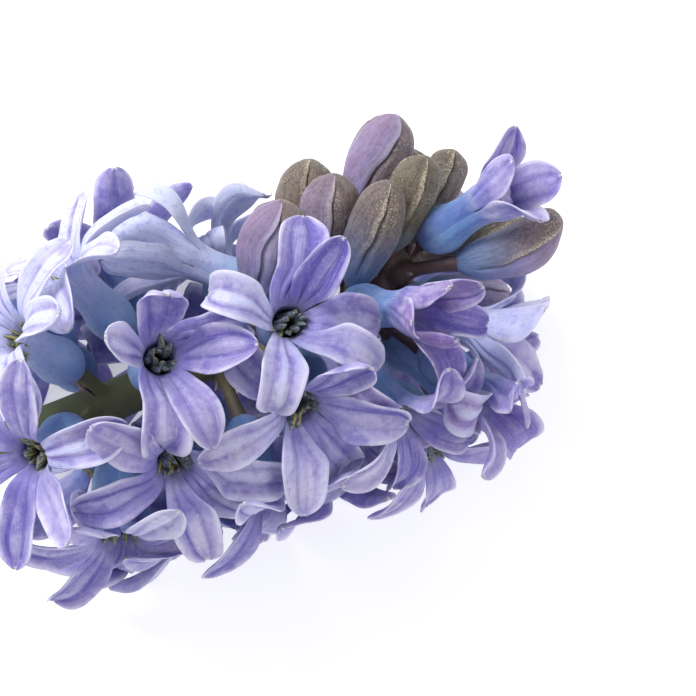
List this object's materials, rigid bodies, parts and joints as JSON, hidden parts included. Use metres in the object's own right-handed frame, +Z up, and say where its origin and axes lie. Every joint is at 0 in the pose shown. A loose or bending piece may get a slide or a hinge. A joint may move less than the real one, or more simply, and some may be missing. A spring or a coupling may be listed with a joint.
{
  "type": "hyacinth flower",
  "caption": "Cut spike of a violet-blue hyacinth lying on its side: a fleshy stem with open star-shaped florets and closed buds at the tip.",
  "frame": {"origin": "under the middle of the bounding box, on the surface that the flower lies on", "axes": "+X along the stem from its cut end to the buds, +Z up from the surface, +Y to the left of someone who looks along +X"},
  "size_m": [0.1985, 0.0791, 0.0701],
  "materials": {
    "stem": "satin",
    "floret": "satin",
    "opening_floret": "satin",
    "bud": "satin"
  },
  "bodies": {
    "root": {"stem": "stem", "floret_01": "floret", "floret_02": "floret", "floret_03": "floret", "floret_04": "floret", "floret_05": "opening_floret", "floret_06": "floret", "floret_07": "floret", "floret_08": "floret", "floret_09": "floret", "floret_10": "floret", "floret_11": "floret", "floret_12": "floret", "floret_13": "floret", "floret_14": "floret", "floret_15": "floret", "floret_16": "floret", "floret_17": "floret", "floret_18": "floret", "floret_19": "opening_floret", "floret_20": "floret", "floret_21": "floret", "floret_22": "floret", "floret_23": "floret", "floret_24": "floret", "floret_25": "floret", "floret_26": "floret", "floret_27": "floret", "floret_28": "floret", "floret_29": "floret", "floret_30": "floret", "floret_31": "floret", "bud_01": "bud", "bud_02": "bud", "bud_03": "bud", "bud_04": "bud", "bud_05": "bud", "bud_06": "bud", "bud_07": "bud", "bud_08": "bud", "bud_09": "bud", "bud_10": "bud", "bud_11": "bud", "bud_12": "bud"}
  },
  "joints": []
}
